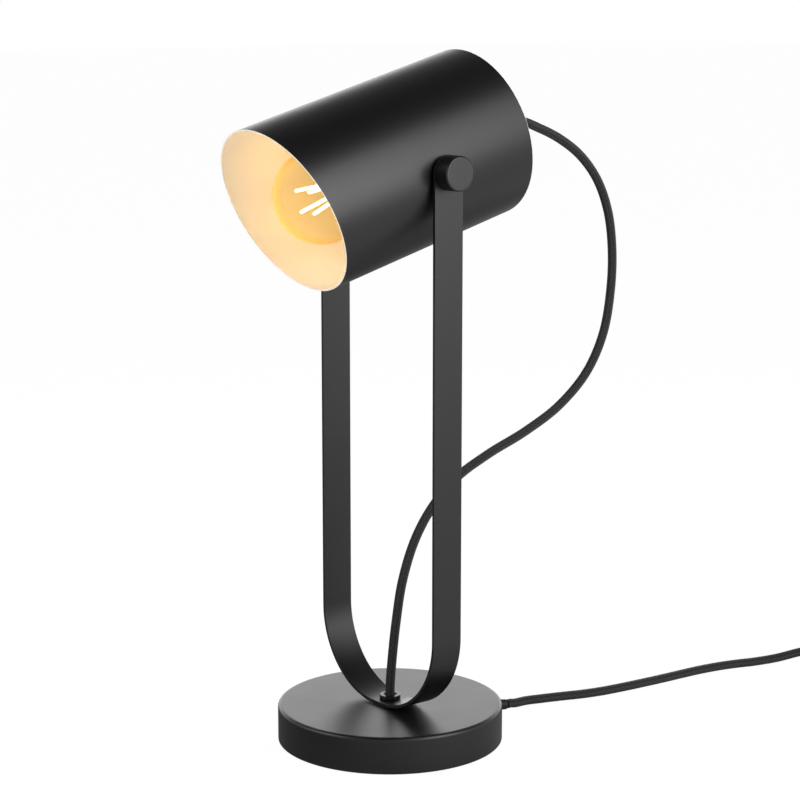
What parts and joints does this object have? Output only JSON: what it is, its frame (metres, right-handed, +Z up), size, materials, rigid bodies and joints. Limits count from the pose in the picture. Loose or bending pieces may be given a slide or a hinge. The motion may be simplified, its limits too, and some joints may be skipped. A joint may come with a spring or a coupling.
{
  "type": "tabletop searchlight lamp",
  "caption": "Table lamp: a slant-mouthed drum shade tilts between the arms of a bent flat strap on a weighted round base, with a globe bulb, a textile lead and an inline switch.",
  "frame": {"origin": "centre of the underside of the base's foot pad, on the table", "axes": "+Z up, the shade's mouth looks to -Y, the tilt axis lies along X, and both leads leave towards +Y"},
  "size_m": [0.1886, 0.5961, 0.4581],
  "materials": {
    "black_paint": "satin black powder coat; the shade is enamelled white inside",
    "cast_iron": "raw casting",
    "zinc_steel": "zinc-plated",
    "brass": "plain",
    "nickel": "nickel-plated",
    "black_rubber": "matte",
    "black_plastic": "fine satin moulding",
    "white_nylon": "satin",
    "ceramic": "fired, unglazed",
    "black_textile": "braided",
    "inner_sheath": "smooth",
    "amber_glass": "clear amber tint",
    "clear_glass": "clear",
    "filament": "lit coating",
    "felt": "felt"
  },
  "bodies": {
    "base": {"base_shell": "black_paint", "base_weight": "cast_iron", "bottom_plate": "zinc_steel", "foot_pad": "felt", "bottom_screw_1": "zinc_steel", "bottom_screw_2": "zinc_steel", "bottom_screw_3": "zinc_steel", "yoke_strap": "black_paint", "strap_nipple": "zinc_steel", "nipple_washer": "zinc_steel", "nipple_nut": "zinc_steel", "strap_collar": "black_plastic", "terminal_block": "white_nylon", "terminal_sleeve_live": "brass", "terminal_sleeve_neutral": "brass", "inner_mains_lead": "inner_sheath", "inner_head_lead": "inner_sheath", "head_cord": "black_textile", "outlet_bush": "black_rubber", "mains_lead_run": "black_textile", "mains_lead_link": "black_textile", "mains_coil": "black_textile", "mains_lead_tail": "black_textile", "cord_tie": "felt", "switch_lower": "black_plastic", "switch_upper": "black_plastic", "plug_body": "black_plastic", "plug_pin_left": "nickel", "plug_pin_right": "nickel"},
    "shade": {"shade_shell": "black_paint", "pivot_bolt_right": "zinc_steel", "pivot_bolt_left": "zinc_steel", "pivot_spacer_right": "black_plastic", "pivot_spacer_left": "black_plastic", "holder_tube": "zinc_steel", "back_collar": "black_plastic", "tube_nut": "zinc_steel", "holder_dome": "black_plastic", "holder_body": "black_plastic", "holder_insert": "ceramic", "screw_sleeve": "brass", "contact_tab": "brass"},
    "bulb": {"bulb_glass": "amber_glass", "bulb_cap": "nickel", "bulb_bead": "black_plastic", "bulb_tip": "brass", "bulb_stem": "clear_glass", "filament_1": "filament", "filament_2": "filament", "filament_3": "filament", "filament_4": "filament"},
    "right_knob": {"knob_right": "black_paint"},
    "left_knob": {"knob_left": "black_paint"},
    "rocker": {"switch_rocker": "black_plastic"}
  },
  "joints": [
    {"name": "shade_tilt", "type": "hinge", "parent": "base", "child": "shade", "pos_m": [0, 0, 0.384], "axis": [1, 0, 0], "range_deg": [-60, 74], "deforming": ["head_cord"]},
    {"name": "right_knob_turn", "type": "hinge", "parent": "shade", "child": "right_knob", "pos_m": [0.0665, 0, 0.384], "axis": [1, 0, 0], "range_deg": [0, 360]},
    {"name": "left_knob_turn", "type": "hinge", "parent": "shade", "child": "left_knob", "pos_m": [-0.0665, 0, 0.384], "axis": [-1, 0, 0], "range_deg": [0, 360]},
    {"name": "bulb_turn", "type": "hinge", "parent": "shade", "child": "bulb", "pos_m": [0, 0, 0.384], "axis": [0, -0.9624, -0.2716], "range_deg": [0, 360]},
    {"name": "rocker_tip", "type": "hinge", "parent": "base", "child": "rocker", "pos_m": [0.08435, 0.37821, 0.018], "axis": [-0.8192, 0.5736, 0], "range_deg": [-14, 0]}
  ]
}
